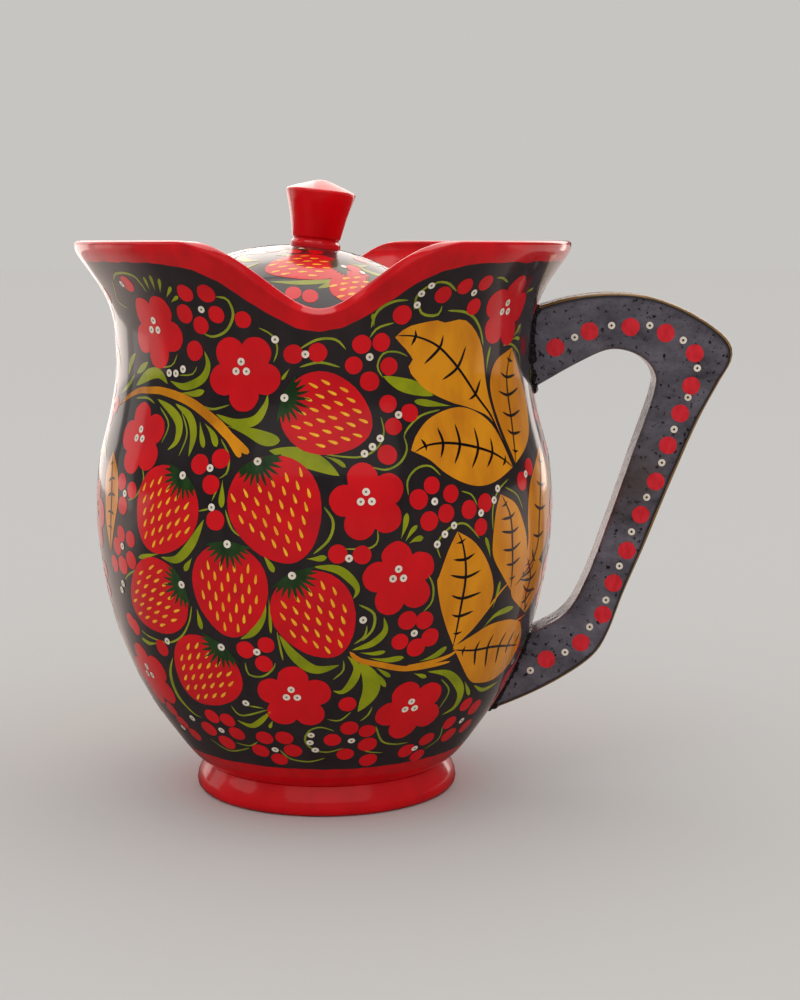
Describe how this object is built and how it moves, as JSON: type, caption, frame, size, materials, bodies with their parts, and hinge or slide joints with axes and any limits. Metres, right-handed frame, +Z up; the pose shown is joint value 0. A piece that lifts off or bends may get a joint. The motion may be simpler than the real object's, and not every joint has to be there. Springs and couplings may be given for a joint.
{
  "type": "lidded wooden jug",
  "caption": "Turned wooden table jug with a scooped flaring rim, a flat sawn handle, a turned foot and a domed lift-off lid with a knob, painted with berries, flowers and leaves.",
  "frame": {"origin": "centre of the foot's flat underside, on the turning axis", "axes": "+Z up along the turning axis; +X towards the handle, -X towards the pouring lip; -Y is the front, whose scoop in the rim stands in the middle; the back scoop stands 14 mm towards the lip"},
  "size_m": [0.2242, 0.1578, 0.2107],
  "materials": {
    "painted_ground": "charcoal-black painted ground under clear gloss lacquer",
    "red_lacquer": "deep red paint under clear gloss lacquer",
    "black_lacquer": "brushed black paint under satin lacquer",
    "gold_paint": "ochre-gold brush paint under clear gloss lacquer",
    "green_paint": "olive-green brush paint under clear gloss lacquer",
    "dark_green_paint": "dark green brush paint under clear gloss lacquer",
    "white_paint": "warm white dots under clear gloss lacquer",
    "bare_wood": "plain linden wood"
  },
  "bodies": {
    "jug": {"vessel": "painted_ground", "foot": "red_lacquer", "handle": "black_lacquer", "upper_dowel": "bare_wood", "lower_dowel": "bare_wood"},
    "lid": {"lid": "painted_ground", "knob": "red_lacquer"}
  },
  "joints": [
    {"name": "lid_lift", "type": "slide", "parent": "jug", "child": "lid", "axis": [0, 0, 1], "range_m": [0, 0.05]}
  ]
}
